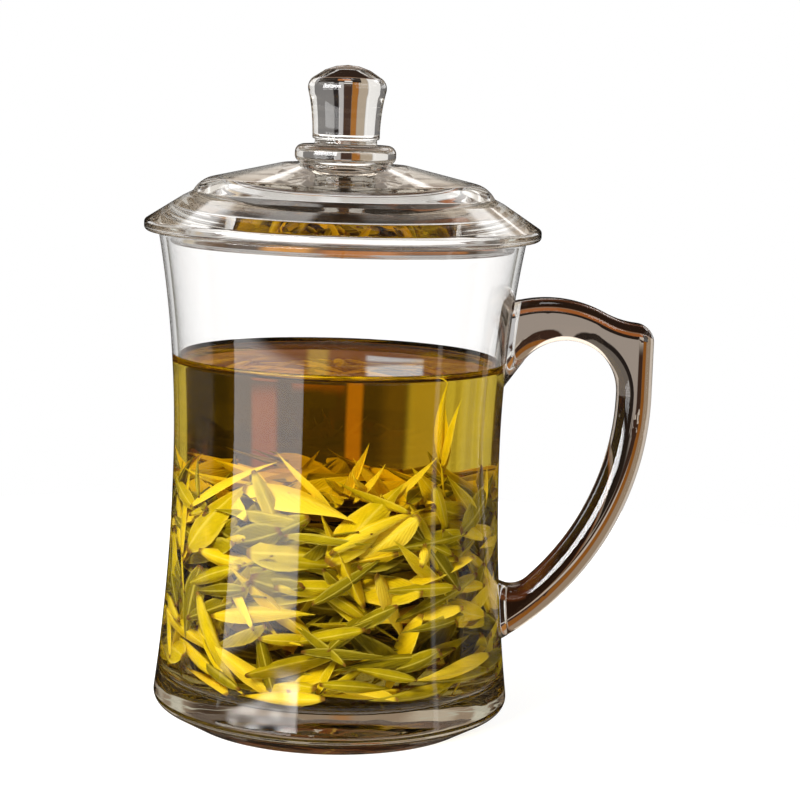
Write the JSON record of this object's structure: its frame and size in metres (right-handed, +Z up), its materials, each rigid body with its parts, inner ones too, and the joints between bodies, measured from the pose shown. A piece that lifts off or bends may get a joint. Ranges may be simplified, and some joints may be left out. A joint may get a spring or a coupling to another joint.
{
  "type": "glass tea cup",
  "caption": "Waisted clear glass tea cup with a thick base, a tinted glass ear handle and a loose domed glass lid with a knob, for brewing and drinking loose-leaf tea.",
  "frame": {"origin": "middle of the foot, on the plane that the cup stands on", "axes": "+Z up along the cup's axis, +X from the axis towards the handle"},
  "size_m": [0.1211, 0.0934, 0.1561],
  "materials": {
    "clear_glass": "fire-polished, clear",
    "amber_glass": "fire-polished, smoky amber tint"
  },
  "bodies": {
    "cup": {"cup_body": "clear_glass", "handle": "amber_glass", "upper_weld": "clear_glass", "lower_weld": "clear_glass"},
    "lid": {"lid": "clear_glass", "lid_knob": "clear_glass"}
  },
  "joints": [
    {"name": "lid_lift", "type": "slide", "parent": "cup", "child": "lid", "axis": [0, 0, 1], "range_m": [0, 0.06]}
  ]
}
